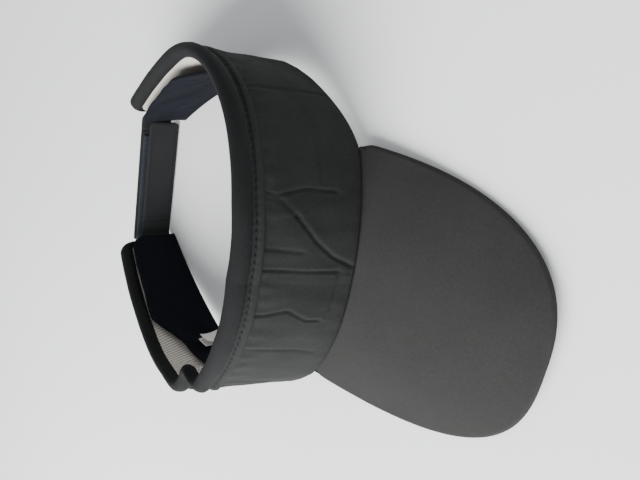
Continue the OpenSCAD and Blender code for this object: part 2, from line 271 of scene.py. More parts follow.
class Band:
    """The band's plan, heights and layers, in metres; s runs along the cloth from the middle of
    the forehead, negative on the left, d is the depth inside the cloth and z the height."""

    def __init__(self, sizes, brim):
        self.z, self.b = sizes, brim
        self.front_angle = sizes.front_half / sizes.front_radius
        self.bend_angle = self.front_angle + sizes.temple_turn
        self.bend_end = sizes.front_half + sizes.temple_radius * sizes.temple_turn
        self.front_end = self.step((0, 0), sizes.front_radius, 0, self.front_angle)
        self.temple_end = self.step(self.front_end, sizes.temple_radius, self.front_angle,
                                    self.bend_angle)

    @staticmethod
    def step(start, radius, a0, a1):
        return (start[0] + radius * (math.sin(a1) - math.sin(a0)),
                start[1] + radius * (math.cos(a0) - math.cos(a1)))

    def heading(self, s):
        z = self.z
        if s < z.front_half:
            return s / z.front_radius
        if s < self.bend_end:
            return self.front_angle + (s - z.front_half) / z.temple_radius
        return self.bend_angle + (s - self.bend_end) / z.wing_radius

    def plan(self, s):
        z, turned = self.z, self.heading(s)
        if s < z.front_half:
            return self.step((0, 0), z.front_radius, 0, turned)
        if s < self.bend_end:
            return self.step(self.front_end, z.temple_radius, self.front_angle, turned)
        return self.step(self.temple_end, z.wing_radius, self.bend_angle, turned)

    def share(self, s):
        return min(1.0, abs(s) / self.z.side_len)

    def lean(self, s):
        return self.z.front_lean + (self.z.end_lean - self.z.front_lean) * self.share(s)

    def stand(self, x, y, z):
        """A point of the level layout, as the visor stands."""
        c, s = math.cos(self.z.tip), math.sin(self.z.tip)
        return Vector((x, y * c + z * s + self.z.stand_y, z * c - y * s + self.z.lift))

    def level(self, s, d, z):
        turned, (x, y) = self.heading(abs(s)), self.plan(abs(s))
        depth = d + self.lean(s) * z
        return (-1 if s < 0 else 1) * (x - math.sin(turned) * depth), \
            y + math.cos(turned) * depth, z

    def kink(self, s, z):
        """The soft left temple is pushed in where the wing folds back."""
        return sum(depth * MM * hump((s - at * MM) / (wide * MM))
                   * ease((z - low * MM) / (grow * MM)) for depth, at, wide, low, grow in KINKS)

    def skew(self, s, z):
        """The soft front of the band leans a little to the right; the wing ends stay put."""
        return 0.08 * z * (1 - ease((abs(s) - 150 * MM) / (75 * MM)))

    def at(self, s, d, z):
        x, y, z = self.level(s, d + self.kink(s, z), z)
        return self.stand(x + self.skew(s, z), y, z)

    def top(self, s):
        z, left = self.z, self.z.side_len - abs(s)
        drop = 0
        if left < z.corner_r:
            reach = z.corner_r - max(0, left)
            drop = z.corner_r - math.sqrt(max(0, z.corner_r ** 2 - reach ** 2))
        fall = max(0, (self.share(s) - 0.15) / 0.85) ** 1.3
        return z.front_h - (z.front_h - z.end_h) * fall - drop

    def brim_mid(self, x, y):
        return self.b.rise + self.b.slope * y - x * x / (2 * self.b.arch_r)

    def seat(self, s, d=0.0):
        half = self.z.front_half
        x, y, _ = self.level(max(-half, min(half, s)), d, 0)
        return self.brim_mid(x, y) + self.b.thick / 2 + self.b.seat_gap

    def bottom(self, s, d=0.0):
        beyond = abs(s) - self.z.front_half
        if beyond <= 0:
            return self.seat(s, d)
        return self.seat(self.z.front_half, d) \
            * (1 + math.cos(min(math.pi, beyond / self.z.edge_blend * math.pi))) / 2

    def relief(self, s, z):
        """How far the outer cloth lies inside its smooth shape."""
        foot, head = self.bottom(s), self.top(s) - self.z.bind_h - self.z.groove - self.z.hem_h
        held = ease((z - foot + 0.5 * MM) / (5 * MM)) * ease((head - z + 3 * MM) / (5 * MM))
        slow = wobble(s / MM * 0.035, z / MM * 0.045, 3.1) * 1.25
        quick = wobble(s / MM * 0.12, z / MM * 0.05, 8.7) * 0.36
        near_hem = hump((head - z) / (7 * MM))
        near_foot = hump((z - foot) / (6 * MM))
        gather = (0.22 * near_hem + 0.12 * near_foot) \
            * math.sin(s / MM * 0.72 + 2 * wobble(s / MM * 0.05, 0, 0))
        pressed = sum(c.press(s, z) for c in CREASES)
        open_edge = ease((z - foot) / (1.5 * MM)) * ease((head - z + 2.2 * MM) / (1.4 * MM))
        return held * (slow + quick - 0.35 + gather) * MM + open_edge * pressed


# ---------------------------------------------------------------- meshes
def loom(name, stations, section, place, closed=True, capped=True):
    """A piece of cloth laid out flat as a grid, then bent into place.

    section(station) gives the rows across it as (depth, height) and place turns a station and one
    of those into a point. The cloth's own lengths go into its UV map."""
    bm = bmesh.new()
    rows = [section(t) for t in stations]
    across, along = len(rows[0]) - 1, len(stations) - 1
    bmesh.ops.create_grid(bm, x_segments=along, y_segments=across, size=0.5)
    uv = bm.loops.layers.uv.new(CLOTH_UV)
    spots, runs = {}, {}
    middle = rows[along // 2]
    for i in range(along + 1):
        for j in range(across + 1):
            spots[i, j] = place(stations[i], *rows[i][j])
    side = [0.0]
    for j in range(across):
        side.append(side[-1] + (spots[along // 2, j + 1] - spots[along // 2, j]).length)
    lane = max(range(across + 1), key=lambda j: middle[j][1])
    run = [0.0]
    for i in range(along):
        run.append(run[-1] + (spots[i + 1, lane] - spots[i, lane]).length)
    for v in bm.verts:
        i, j = round((v.co.x + 0.5) * along), round((v.co.y + 0.5) * across)
        runs[v] = (run[i], side[j])
        v.co = spots[i, j]
    for face in bm.faces:
        for corner in face.loops:
            corner[uv].uv = runs[corner.vert]
        face.smooth = True
    if closed:
        bmesh.ops.remove_doubles(bm, verts=bm.verts, dist=1e-6)
    if closed and capped:
        bmesh.ops.holes_fill(bm, edges=[e for e in bm.edges if e.is_boundary], sides=0)
    bmesh.ops.recalc_face_normals(bm, faces=bm.faces)
    return finished(name, bm)


def finished(name, bm):
    mesh = bpy.data.meshes.new(name)
    bm.to_mesh(mesh)
    bm.free()
    piece = bpy.data.objects.new(name, mesh)
    bpy.context.scene.collection.objects.link(piece)
    return piece


def smoothed(name, bm):
    for face in bm.faces:
        face.smooth = True
    bmesh.ops.recalc_face_normals(bm, faces=bm.faces)
    return finished(name, bm)


def dress(piece, finish, slot, *nodes):
    piece.data.materials.clear()
    piece.data.materials.append(finish)
    if nodes:
        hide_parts(*nodes)
    return piece


def thicken(piece, thickness, offset=-1):
    solid = piece.modifiers.new("Thickness", "SOLIDIFY")
    solid.thickness, solid.offset = thickness, offset
    return piece


class Sewing:
    """What the operators share: the sizes, the band and the finishes."""

    def __init__(self):
        scene = bpy.context.scene
        self.sizes, self.brim = scene.visor_band, scene.visor_brim
        self.strap, self.label = scene.visor_strap, scene.visor_label
        self.stitch, self.tint = scene.visor_stitch, scene.visor_colours
        self.stage = scene.visor_stage
        self.band = Band(self.sizes, self.brim)

    def sides(self):
        """Each stretch of the band's cloth: its name, its ends and the stretches in it."""
        crease, end = self.sizes.crease_at, self.sizes.side_len
        return [("front", -crease, end, ("front", "right")), ("left", -crease, -end, ("left",))]

    def bend(self, piece, side):
        """Bakes the piece's transform into its mesh; the points either side of the temple crease
        are worked out but not used.
        """
        band, crease = self.band, self.sizes.crease_at
        across = Vector((CREASE_SPREAD, CREASE_SPREAD)) / 2
        x, y, z = band.level(crease, self.sizes.wall / 2, 25 * MM)
        if side == "front":
            start = band.stand(x - across.x, y - across.y, z)
            end = band.stand(x + across.x, y + across.y, z)
            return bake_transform(piece)
        start = band.stand(-x, y, z)
        end = band.stand(-x, y + 0.9 * CREASE_SPREAD, z)
        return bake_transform(piece)


# ---------------------------------------------------------------- finishes
class Signal:
    """A socket's value, so that a finish's maths reads as plain expressions."""

    def __init__(self, finish, socket):
        self.finish, self.socket = finish, socket

    def maths(self, operation, *others, swap=False):
        terms = [self, *others]
        if swap:
            terms.reverse()
        return self.finish.node("ShaderNodeMath", {"operation": operation}, dict(enumerate(terms)))

    def __add__(self, other):
        return self.maths("ADD", other)

    def __mul__(self, other):
        return self.maths("MULTIPLY", other)

    def __sub__(self, other):
        return self.maths("SUBTRACT", other)

    def __rsub__(self, other):
        return self.maths("SUBTRACT", other, swap=True)

    def sine(self):
        return self.maths("SINE")

    def above(self, edge, soft):
        """0 below the edge and 1 above it, changing over twice the softness."""
        return self.finish.node("ShaderNodeMapRange", {"interpolation_type": "SMOOTHSTEP"},
                                {0: self, 1: edge - soft, 2: edge + soft, 3: 0.0, 4: 1.0})


class Finish:
    """A material whose nodes are made by one method."""

    def __init__(self, name):
        self.material = bpy.data.materials.new(name)
        self.material.use_nodes = True
        self.tree = self.material.node_tree
        self.tree.nodes.clear()

    def node(self, kind, settings=None, inputs=None, output=0):
        made = self.tree.nodes.new(kind)
        for key, value in (settings or {}).items():
            setattr(made, key, value)
        for key, value in (inputs or {}).items():
            if isinstance(value, Signal):
                self.tree.links.new(value.socket, made.inputs[key])
            else:
                made.inputs[key].default_value = value
        return Signal(self, made.outputs[output]) if len(made.outputs) else None

    def cloth_lengths(self):
        """Distances along and across the cloth, in millimetres."""
        place = self.node("ShaderNodeUVMap", {"uv_map": CLOTH_UV})
        split = self.node("ShaderNodeSeparateXYZ", None, {0: place})
        across = Signal(self, split.socket.node.outputs[1])
        return split * 1000.0, across * 1000.0

    def solid_place(self):
        return self.node("ShaderNodeTexCoord", output="Object")

    def speckle(self, scale, detail=2.0, rough=0.5, place=None):
        """Noise on the object's own coordinates; scale is in waves per metre."""
        return self.node("ShaderNodeTexNoise", None,
                         {"Vector": place or self.solid_place(), "Scale": scale, "Detail": detail,
                          "Roughness": rough})

    def blend(self, mask, first, second):
        """first where the mask is 0 and second where it is 1."""
        mixed = self.node("ShaderNodeMix", {"data_type": "RGBA", "clamp_factor": True}, {0: mask},
                          output=2)
        for socket, value in ((6, first), (7, second)):
            if isinstance(value, Signal):
                self.tree.links.new(value.socket, mixed.socket.node.inputs[socket])
            else:
                mixed.socket.node.inputs[socket].default_value = (*value, 1)
        return mixed

    def bump(self, height, distance, strength=1.0, under=None):
        inputs = {"Height": height, "Distance": distance, "Strength": strength}
        if under:
            inputs["Normal"] = under
        return self.node("ShaderNodeBump", None, inputs)

    def surface(self, colour, roughness, normal, **constants):
        shader = self.node("ShaderNodeBsdfPrincipled", None,
                           {"Base Color": colour, "Roughness": roughness, "Normal": normal,
                            **{key.replace("_", " "): value for key, value in constants.items()}})
        self.node("ShaderNodeOutputMaterial", None, {"Surface": shader})
        return self.material


def dark(tint, factor):
    return tuple(channel * factor for channel in tint)


def woven(name, tint, pitch, depth=0.07, rough=0.86, sheen=0.012, mottle=0.16):
    """Plain-woven cloth: crossing threads, slubs and slow unevenness."""
    f = Finish(name)
    u, v = f.cloth_lengths()
    turn = 2 * math.pi / pitch
    checks = (u * turn).sine() * (v * turn).sine()
    threads = (u * (turn * 2)).sine() * 0.5 + (v * (turn * 2)).sine() * 0.5
    slubs = f.speckle(900, 3, 0.6)
    slow = f.speckle(28, 3, 0.55)
    shade = (checks * 0.10 + slubs * 0.55 + slow * 0.45) - 0.5
    swing = 2.2 * mottle
    tinted = f.blend(shade * 2.0 + 0.5, dark(tint, 1 - swing), dark(tint, 1 + swing))
    fuzz = f.speckle(2600, 2, 0.6)
    fine = f.bump(checks * 0.6 + threads * 0.25 + fuzz * 0.5, depth * MM, 0.55)
    dents = f.bump(f.speckle(160, 3, 0.55), 0.35 * MM, 0.35, fine)
    return f.surface(tinted, slow * 0.12 + (rough - 0.06), dents, Sheen_Weight=sheen,
                     Sheen_Roughness=0.45, Specular_IOR_Level=0.12)


def open_mesh(name, tint):
    """Cream net: rows of small open holes that show the dark foam behind."""
    f = Finish(name)
    u, v = f.cloth_lengths()
    pitch = 2.0
    turn = 2 * math.pi / pitch
    lattice = (u * turn + v * (turn * 0.5)).sine() * (v * turn * 0.9).sine()
    holes = lattice.above(0.2, 0.12)
    ribs = (v * (turn * 4)).sine()
    grime = f.speckle(60, 3, 0.6)
    threads = f.blend(grime, dark(tint, 0.86), dark(tint, 1.08))
    shaded = f.blend(ribs * 0.18 + 0.12, threads, dark(tint, 0.7))
    holed = f.blend(holes * 0.9, shaded, dark(tint, 0.1))
    height = (1 - holes) + ribs * 0.12
    return f.surface(holed, grime * 0.1 + 0.78, f.bump(height, 0.3 * MM, 0.7), Sheen_Weight=0.15,
                     Sheen_Roughness=0.5, Specular_IOR_Level=0.25)


def towelling(name, tint, scale=1500, depth=0.35, sheen=0.008, rough=0.9):
    """Short looped pile, with softer and darker patches where it has been pressed."""
    f = Finish(name)
    loops = f.node("ShaderNodeTexVoronoi", None, {"Vector": f.solid_place(), "Scale": scale})
    fuzz = f.speckle(2400, 3, 0.7)
    slow = f.speckle(45, 3, 0.6)
    mask = loops * 0.5 + fuzz * 0.35 + slow * 0.5
    tinted = f.blend(mask - 0.2, dark(tint, 0.55), dark(tint, 1.9))
    height = fuzz * 0.6 - loops
    return f.surface(tinted, slow * 0.08 + (rough - 0.04), f.bump(height, depth * MM, 0.7),
                     Sheen_Weight=sheen, Sheen_Roughness=0.6, Specular_IOR_Level=0.06)


def knitted(name, tint, rib=0.9):
    """Smooth knitted strap: fine ribs along its length and a slightly worn face."""
    f = Finish(name)
    u, v = f.cloth_lengths()
    turn = 2 * math.pi / rib
    ribs = (v * turn).sine() * 0.6 + (u * (turn * 1.6) + v * turn).sine() * 0.25
    fuzz = f.speckle(1800, 3, 0.6)
    slow = f.speckle(40, 3, 0.6)
    tinted = f.blend(ribs * 0.15 + fuzz * 0.4 + slow * 0.4, dark(tint, 0.72), dark(tint, 1.35))
    return f.surface(tinted, slow * 0.14 + 0.68, f.bump(ribs + fuzz * 0.5, 0.06 * MM, 0.6),
                     Sheen_Weight=0.015, Sheen_Roughness=0.4, Specular_IOR_Level=0.14)


def twisted(name, tint):
    """Sewing thread: two plies twisted together, with a dull shine."""
    f = Finish(name)
    fibres = f.speckle(3200, 2, 0.5)
    tinted = f.blend(fibres, dark(tint, 0.7), dark(tint, 1.6))
    return f.surface(tinted, fibres * 0.1 + 0.5, f.bump(fibres, 0.05 * MM, 0.6),
                     Specular_IOR_Level=0.15)


def satin(name, tint):
    """White ribbon: very fine ribs, a soft shine and faint grey dust."""
    f = Finish(name)
    u, _ = f.cloth_lengths()
    ribs = (u * (2 * math.pi / 0.45)).sine()
    dust = f.speckle(180, 4, 0.6)
    tinted = f.blend(dust, dark(tint, 0.84), dark(tint, 1.05))
    return f.surface(tinted, dust * 0.1 + 0.42, f.bump(ribs, 0.03 * MM, 0.5),
                     Sheen_Weight=0.1, Sheen_Roughness=0.3, Specular_IOR_Level=0.45)


# ---------------------------------------------------------------- cross-sections of the band
def end_taper(band, s, reach):
    """Closes a layer at the wing's end: 1 along the band and 0 at its very end."""
    left = clamp01((band.z.side_len - abs(s)) / reach)
    return math.sqrt(max(0.0, 1 - (1 - left) ** 2))


def cover_section(band):
    outer = split(0, 1, 58)
    arc = spread(0, math.pi, math.pi / 6)
    z = band.z

    def section(s):
        foam = z.foam_face - 0.1 * MM
        half = foam / 2
        shut = end_taper(band, s, 1.6 * MM)
        low, high = band.bottom(s) + half, band.top(s) - 3 * MM
        rows = []
        for k in outer:
            h = high + (low - high) * k
            rows.append((band.relief(s, h), h))
        for a in arc[1:-1]:
            rows.append((half - half * math.cos(a), low - half * math.sin(a)))
        for k in spread(0, 1, 0.25):
            rows.append((foam, low + (high - low) * k))
        rows.append(rows[0])
        return [(half + (d - half) * max(shut, 0.04), h) for d, h in rows]

    return section


def roll_section(band):
    turns = [math.radians(a) for a in spread(-152, 152, 12)]
    z = band.z

    def section(s):
        shut = max(0.3, end_taper(band, s, 3 * MM))
        soft = wobble(s / MM * 0.045, 1.7, 0)
        pull = pucker(s)
        rows = []
        for a in turns:
            swell = 1 + 0.045 * wobble(s / MM * 0.11, 2 * a, 5.2)
            low = clamp01((abs(a) - 1.9) / 0.7)
            wide = (3.5 + 0.3 * soft - 0.55 * pull * low) * MM * swell * shut
            tall = 4.2 * MM * (1 + 0.03 * soft)
            rows.append((z.wall / 2 + wide * math.sin(a),
                         band.top(s) - 4.3 * MM + tall * math.cos(a)))
        rows.append(rows[0])
        return rows

    return section


def hem_section(band):
    turns = [math.radians(a) for a in spread(0, 180, 18)]
    z = band.z

    def section(s):
        middle = band.top(s) - z.bind_h - z.groove - z.hem_h / 2
        shut = max(0.15, end_taper(band, s, 3 * MM))
        pull = pucker(s)
        rows = []
        for a in turns:
            proud = (1.15 - 0.55 * pull * max(0, math.cos(a))
                     + 0.18 * wobble(s / MM * 0.07, a, 1)) * MM
            square = math.copysign(abs(math.cos(a)) ** 0.75, math.cos(a))
            rows.append((0.15 * MM - proud * shut * math.sin(a) ** 0.6,
                         middle + z.hem_h / 2 * square))
        rows += [(0.5 * MM, middle - z.hem_h / 2), (0.5 * MM, middle + z.hem_h / 2), rows[0]]
        return rows

    return section


def mesh_section(band):
    z = band.z

    def section(s):
        low, high = band.bottom(s) + 1.5 * MM, band.top(s) - 5 * MM
        shut = end_taper(band, s, 4 * MM)
        rows = []
        for k in split(0, 1, 26):
            h = high + (low - high) * k
            slack = 0.5 * wobble(s / MM * 0.06, h / MM * 0.09, 2.2)
            rows.append(((z.wall - 0.15 * MM + slack * MM * 0.6) * (0.5 + 0.5 * shut), h))
        return rows

    return section


def sweat_section(band):
    z = band.z
    fold = [math.radians(a) for a in spread(0, 180, 22.5)]

    def section(s):
        foot = band.bottom(s, z.sweat_in)
        high = min(band.bottom(s) + z.sweat_h
                   + SWEAT_RISE * ease((abs(s) - SWEAT_RISE_AT) / SWEAT_RISE_RUN),
                   band.top(s) - z.bind_h + 2 * MM)
        half = z.sweat_t / 2 * (0.4 + 0.6 * end_taper(band, s, 3 * MM))
        flare = (3.2 * ease((s - 120 * MM) / (60 * MM))
                 + 0.8 * ease((-s - 165 * MM) / (50 * MM))) * MM

        def middle(h):
            k = clamp01((h - foot) / (high - foot))
            sway = wobble(s / MM * 0.05, h / MM * 0.07, 4.4) * 1.1 * MM * ease(k * 2)
            fine = wobble((s - h) / MM * 0.16, h / MM * 0.12, 7.4) * 0.55 * MM * ease(k * 3)
            return z.sweat_in + z.sweat_t / 2 + z.sweat_stand * k + flare * k * k \
                + max(-0.4 * MM, sway + fine)

        rows = [(middle(h) + half, h) for h in split(foot, high - half, 18)]
        crown = middle(high - half)
        rows += [(crown + half * math.cos(a), high - half + half * math.sin(a))
                 for a in fold[1:-1]]
        rows += [(middle(h) - half, h) for h in split(high - half, foot, 18)]
        rows.append(rows[0])
        return rows

    return section


def band_stations(band, first, last, step):
    """Stations along a stretch, closer together round the wing's upper corner."""
    end = math.copysign(band.z.side_len - 9 * MM, last)
    corner = [math.copysign(band.z.side_len - 9 * MM * (1 - math.sin(k * math.pi / 28)), last)
              for k in range(1, 15)]
    return spread(first, end, step) + corner


# ---------------------------------------------------------------- operators
class VISOR_OT_stage(bpy.types.Operator):
    """Set the camera, the lights and the pale floor"""

    bl_idname = "visor.stage"
    bl_label = "Stage"

    def execute(self, context):
        kit, world = Sewing(), bpy.data.worlds.new("Studio")
        stage = kit.stage
        a, e, roll = stage.azimuth, stage.elevation, stage.roll
        look = Vector((-math.sin(a) * math.cos(e), math.cos(a) * math.cos(e), -math.sin(e)))
        right = look.cross(Vector((0, 0, 1))).normalized()
        up = right.cross(look)
        r = right * math.cos(roll) + up * math.sin(roll)
        u = up * math.cos(roll) - right * math.sin(roll)
        camera = bpy.data.objects.new("Camera", bpy.data.cameras.new("Camera"))
        camera.data.lens, camera.data.sensor_width = stage.lens, 36
        camera.data.clip_start, camera.data.clip_end = 0.01, 60
        turned = Matrix((-u, r, -look)).transposed().to_4x4()
        place = Vector(stage.target) - look * stage.distance
        camera.matrix_world = Matrix.Translation(place) @ turned
        context.scene.collection.objects.link(camera)
        context.scene.camera = camera

        context.scene.world = world
        world.use_nodes = True
        sky = world.node_tree.nodes["Background"]
        sky.inputs[0].default_value = (0.93, 0.95, 0.98, 1)
        sky.inputs[1].default_value = 0.64
        flat_look = Vector((-math.sin(a), math.cos(a), 0))
        flat_right = Vector((math.cos(a), math.sin(a), 0))
        for name, place, size, watts in (
                ("Window", -flat_right * 1.15 + flat_look * 0.1 + Vector((0, 0, 0.8)), 1.5, 78),
                ("Fill", flat_right * 0.9 - flat_look * 0.9 + Vector((0, 0, 1.2)), 1.4, 2)):
            lamp = bpy.data.objects.new(name, bpy.data.lights.new(name, "AREA"))
            lamp.data.shape, lamp.data.size, lamp.data.energy = "DISK", size, watts
            lamp.location = place
            lamp.rotation_mode = "QUATERNION"
            lamp.rotation_quaternion = (-place).to_track_quat("-Z", "Y")
            context.scene.collection.objects.link(lamp)

        bm = bmesh.new()
        bmesh.ops.create_grid(bm, x_segments=4, y_segments=4, size=16)
        floor = finished("floor", bm)
        f = Finish("pale floor")
        grain = f.speckle(900, 3, 0.6)
        slow = f.speckle(3, 2, 0.5)
        shade = f.blend(slow * 0.7 + grain * 0.2, dark(kit.tint.floor, 0.95), kit.tint.floor)
        floor.data.materials.append(f.surface(shade, 0.62, f.bump(grain, 0.05 * MM, 0.3),
                                              Specular_IOR_Level=0.3))
        return {"FINISHED"}


class VISOR_OT_band(bpy.types.Operator):
    """Sew the padded outer cloth and its mesh lining"""

    bl_idname = "visor.band"
    bl_label = "Padded band"

    def execute(self, context):
        kit = Sewing()
        cloth = woven("shell cloth", kit.tint.shell, 0.55)
        net = open_mesh("mesh lining", kit.tint.mesh)
        for side, first, last, stretches in kit.sides():
            stations = band_stations(kit.band, first, last, 0.78 * MM)
            cover = loom("band_cover_" + side, stations, cover_section(kit.band), kit.band.at)
            nodes = [n + s for s in stretches for n in ("shell_", "foam_")]
            dress(cover, cloth, "shell_cloth", *nodes, "wing_end_" + stretches[-1])
            kit.bend(cover, side)
            lining = loom("mesh_lining_" + side, stations[::2] + stations[-1:],
                          mesh_section(kit.band), kit.band.at, closed=False)
            thicken(lining, 0.4 * MM, 0)
            dress(lining, net, "lining_mesh", *["lining_" + s for s in stretches])
            kit.bend(lining, side)
        return {"FINISHED"}


class VISOR_OT_edge(bpy.types.Operator):
    """Roll the binding over the top edge, turn the hem and sew the groove between them"""

    bl_idname = "visor.edge"
    bl_label = "Binding and hem"

    def execute(self, context):
        kit = Sewing()
        band, sew = kit.band, kit.stitch
        bound = woven("binding cloth", kit.tint.binding, 0.55)
        turned = woven("hem cloth", kit.tint.shell, 0.55)
        thread = twisted("sewing thread", kit.tint.thread)
        for side, first, last, stretches in kit.sides():
            stations = band_stations(band, first, last, 0.95 * MM)
            roll = loom("binding_roll_" + side, stations, roll_section(band), band.at)
            dress(roll, bound, "binding_cloth", *["binding_" + s for s in stretches])
            kit.bend(roll, side)
            hem = loom("hem_ridge_" + side, stations, hem_section(band), band.at)
            dress(hem, turned, "shell_cloth", *["hem_" + s for s in stretches])
            kit.bend(hem, side)
            reach = last - math.copysign(10 * MM, last)
            stitches = self.row(band, sew, "groove_stitches_" + side, first, reach)
            dress(stitches, thread, "thread", *["topstitch_" + s for s in stretches])
            kit.bend(stitches, side)
        return {"FINISHED"}

    @staticmethod
    def row(band, sew, name, first, last):
        random.seed(sew.seed)
        bm = bmesh.new()
        for s in spread(first, last, sew.pitch)[:-1]:
            s += math.copysign(sew.pitch / 2, last - first)
            made = bmesh.ops.create_uvsphere(bm, u_segments=8, v_segments=6, radius=0.5)["verts"]
            for v in made:
                along = v.co.z * (sew.length + random.uniform(-0.02, 0.02) * MM)
                sunk = 0.25 * sew.thread * (2 * v.co.z) ** 2
                z = band.top(s + along) - band.z.bind_h - band.z.groove / 2
                v.co = band.at(s + along, -0.55 * sew.thread + sunk + v.co.x * sew.thread,
                               z + v.co.y * sew.thread)
        return smoothed(name, bm)


class VISOR_OT_sweatband(bpy.types.Operator):
    """Sew the dark sweatband inside, free along its upper edge"""

    bl_idname = "visor.sweatband"
    bl_label = "Sweatband"

    def execute(self, context):
        kit = Sewing()
        towel = towelling("sweatband towelling", kit.tint.sweat)
        for side, first, last, stretches in kit.sides():
            stations = band_stations(kit.band, first, last, 1.5 * MM)
            sweat = loom("sweatband_cloth_" + side, stations, sweat_section(kit.band), kit.band.at)
            dress(sweat, towel, "sweatband_cloth", *["sweatband_" + s for s in stretches])
            kit.bend(sweat, side)
        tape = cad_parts["brim_seam_tape"]
        tape.data.materials.clear()
        tape.data.materials.append(towelling("seam tape", dark(kit.tint.thread, 1.0), 900, 0.1))
        return {"FINISHED"}


class VISOR_OT_brim(bpy.types.Operator):
    """Cover the brim above and below, with the top cloth wrapped round its edge"""

    bl_idname = "visor.brim"
    bl_label = "Brim"

    def execute(self, context):
        kit = Sewing()
        band, brim = kit.band, kit.brim
        half = brim.thick / 2
        eased = lambda t: math.sin(math.pi / 2 * t)
        marks = [eased(t) for t in spread(-1, 1, 1 / 60)]

        def outline(mark, inset):
            share = eased(mark)
            deep = max(0, 1 - abs(share) ** brim.square) ** (1 / brim.square)
            wide = brim.half_w - inset - BRIM_TUCK * hump(deep / 0.03)
            return wide * share, brim.back_y - (brim.reach - inset) * deep

        def point(mark, inset, v, up):
            root = band.level(kit.sizes.front_half * mark, kit.sizes.wall * 0.62, 0)
            edge = outline(mark, inset)
            x = root[0] + (edge[0] - root[0]) * v
            y = root[1] + (edge[1] - root[1]) * v
            soft = 0.22 * MM * wobble(x / MM * 0.03, y / MM * 0.03, 6.0)
            fade = ease(v * 4) * ease((1.0 - v) * 6)
            return band.stand(x, y, band.brim_mid(x, y) + up + soft * fade)

        turns = [math.radians(a) for a in spread(90, -90, 15)]

        def top_rows(mark):
            flat = [(v, half) for v in spread(0, 1, 1 / 44)[:-1]]
            lip = [(1 + half * math.cos(a), half * math.sin(a)) for a in turns]
            return flat + lip + [(1 - brim.lip * 0.5, -half)]

        def top_place(mark, v, up):
            if v < 1 and up > 0:
                return point(mark, half, v, up)
            return point(mark, half - (v - 1), 1, up)

        def under_rows(mark):
            return [(v, -half + 0.02 * MM) for v in spread(0, 1, 1 / 40)]

        top = loom("brim_top_cloth", marks, top_rows, top_place, closed=False)
        under = loom("brim_under_cloth", marks, under_rows,
                     lambda mark, v, up: point(mark, half + 0.4 * MM, v, up), closed=False)
        cloth = woven("brim cloth", kit.tint.brim, 0.5, depth=0.05, rough=0.88, mottle=0.10)
        # the underside uses the brim's own colour darkened to 0.8: painted shade under the brim
        below = woven("brim under cloth painted shade", dark(kit.tint.brim, 0.8), 0.5, depth=0.05, rough=0.9)
        for piece, sign in ((top, 1), (under, -1)):
            face_out(piece, sign)
            thicken(piece, 0.5 * MM, -1)
        dress(top, cloth, "brim_cloth", "brim_top_cover", "brim_board")
        dress(under, below, "brim_under_cloth", "brim_under_cover")
        for piece in (top, under):
            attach(piece, "front")
        return {"FINISHED"}


def face_out(piece, up):
    """Turns an open sheet so that its middle faces up (1) or down (-1)."""
    mesh = piece.data
    total = sum(p.normal.z * p.area for p in mesh.polygons)
    if total * up < 0:
        mesh.flip_normals()


